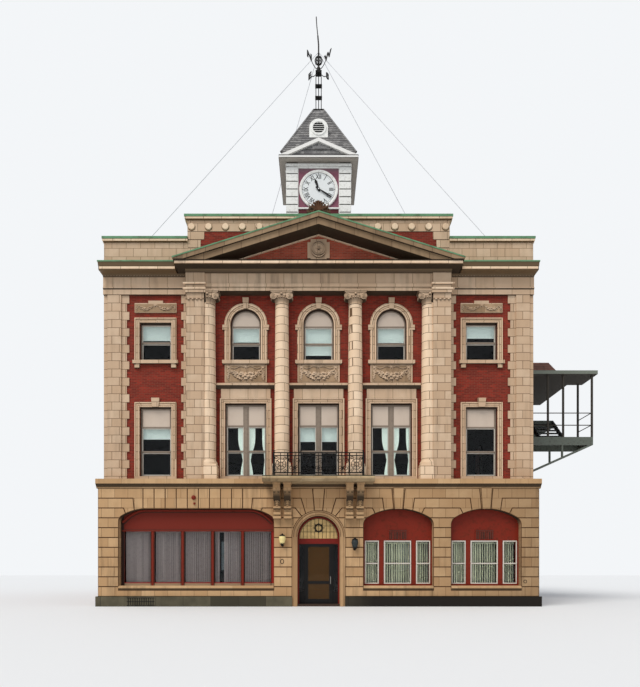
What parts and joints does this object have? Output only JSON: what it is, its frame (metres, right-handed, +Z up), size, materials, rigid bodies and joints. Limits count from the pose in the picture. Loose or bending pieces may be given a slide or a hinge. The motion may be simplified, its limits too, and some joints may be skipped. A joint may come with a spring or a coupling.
{
  "type": "town hall building",
  "caption": "Three-storey brick town hall with a stone ground storey, columned temple front with pediment, balcony over the arched entrance and a wooden clock tower with a stayed mast",
  "frame": {"origin": "on the ground, below the middle of the brick face of the front", "axes": "+Z up, +Y into the building, +X to the right seen from the street; the front faces -Y"},
  "size_m": [21.7, 19.64, 29.6766],
  "materials": {
    "dark_stone": "dressed",
    "golden_stone": "smooth blocks",
    "terra_cotta": "matte glaze",
    "red_brick": "brickwork",
    "party_brick": "plain brickwork",
    "red_paint": "painted",
    "taupe_paint": "painted",
    "window_glass": "clear",
    "black_paint": "satin",
    "handle_steel": "satin",
    "black_iron": "painted",
    "finial_metal": "worn paint",
    "stay_wire": "dull",
    "copper": "green patina",
    "bronze": "brown patina",
    "concrete": "plain",
    "steel_paint": "weathered paint",
    "opal_glass": "opal",
    "roof_felt": "roofing felt",
    "tower_panel": "dusty rose paint",
    "white_trim": "white paint",
    "shingles": "grey shingles",
    "dial_face": "satin",
    "hand_black": "satin"
  },
  "bodies": {
    "building": {"plinth": "dark_stone", "stone_wall_left": "golden_stone", "stone_wall_right": "golden_stone", "stone_over_door": "golden_stone", "entrance_surround": "golden_stone", "ground_sills": "golden_stone", "string_course": "golden_stone", "balcony_slab": "golden_stone", "balcony_consoles": "golden_stone", "pilasters": "terra_cotta", "quoins": "terra_cotta", "columns": "terra_cotta", "capitals": "terra_cotta", "window_surrounds": "terra_cotta", "window_sills": "terra_cotta", "bay_cornices": "terra_cotta", "swag_panels": "terra_cotta", "centre_entablature": "terra_cotta", "wing_entablatures": "terra_cotta", "pediment_cornices": "terra_cotta", "cartouche": "terra_cotta", "upper_front_wall": "red_brick", "tympanum": "red_brick", "attic_walls": "red_brick", "flank_wall": "red_brick", "rear_wall": "red_brick", "party_wall": "party_brick", "shop_window_frame": "red_paint", "arched_window_frames": "red_paint", "entrance_frame": "red_paint", "upper_window_frames": "taupe_paint", "back_window_frames": "taupe_paint", "ground_glass": "window_glass", "upper_glass": "window_glass", "back_glass": "window_glass", "balcony_railing": "black_iron", "mast": "black_iron", "mast_finial": "finial_metal", "stays": "stay_wire", "copper_flashings": "copper", "attic_copings": "copper", "acroterion": "bronze", "ground_floor": "concrete", "upper_floors": "concrete", "side_landing": "steel_paint", "side_stair": "steel_paint", "landing_canopy": "steel_paint", "wall_lanterns": "opal_glass", "roof_deck": "roof_felt", "tower_walls": "tower_panel", "tower_corner_boards": "white_trim", "tower_eaves": "white_trim", "tower_dormers": "white_trim", "tower_roof": "shingles", "clock_dials": "dial_face"},
    "door": {"door_leaf": "black_paint", "door_panes": "window_glass", "door_handle": "handle_steel"},
    "hour": {"hour_hand": "hand_black"},
    "minute": {"minute_hand": "hand_black"}
  },
  "joints": [
    {"name": "entrance_door", "type": "hinge", "parent": "building", "child": "door", "pos_m": [-0.544, -0.206, 0], "axis": [0, 0, -1], "range_deg": [0, 90]},
    {"name": "minute_turn", "type": "hinge", "parent": "building", "child": "minute", "pos_m": [0, 4.5, 19.9], "axis": [0, 1, 0], "continuous": true},
    {"name": "hour_turn", "type": "hinge", "parent": "building", "child": "hour", "pos_m": [0, 4.5, 19.9], "axis": [0, 1, 0], "continuous": true}
  ],
  "couplings": [
    {"joint": "hour_turn", "follows": "minute_turn", "ratio": 0.083333}
  ]
}
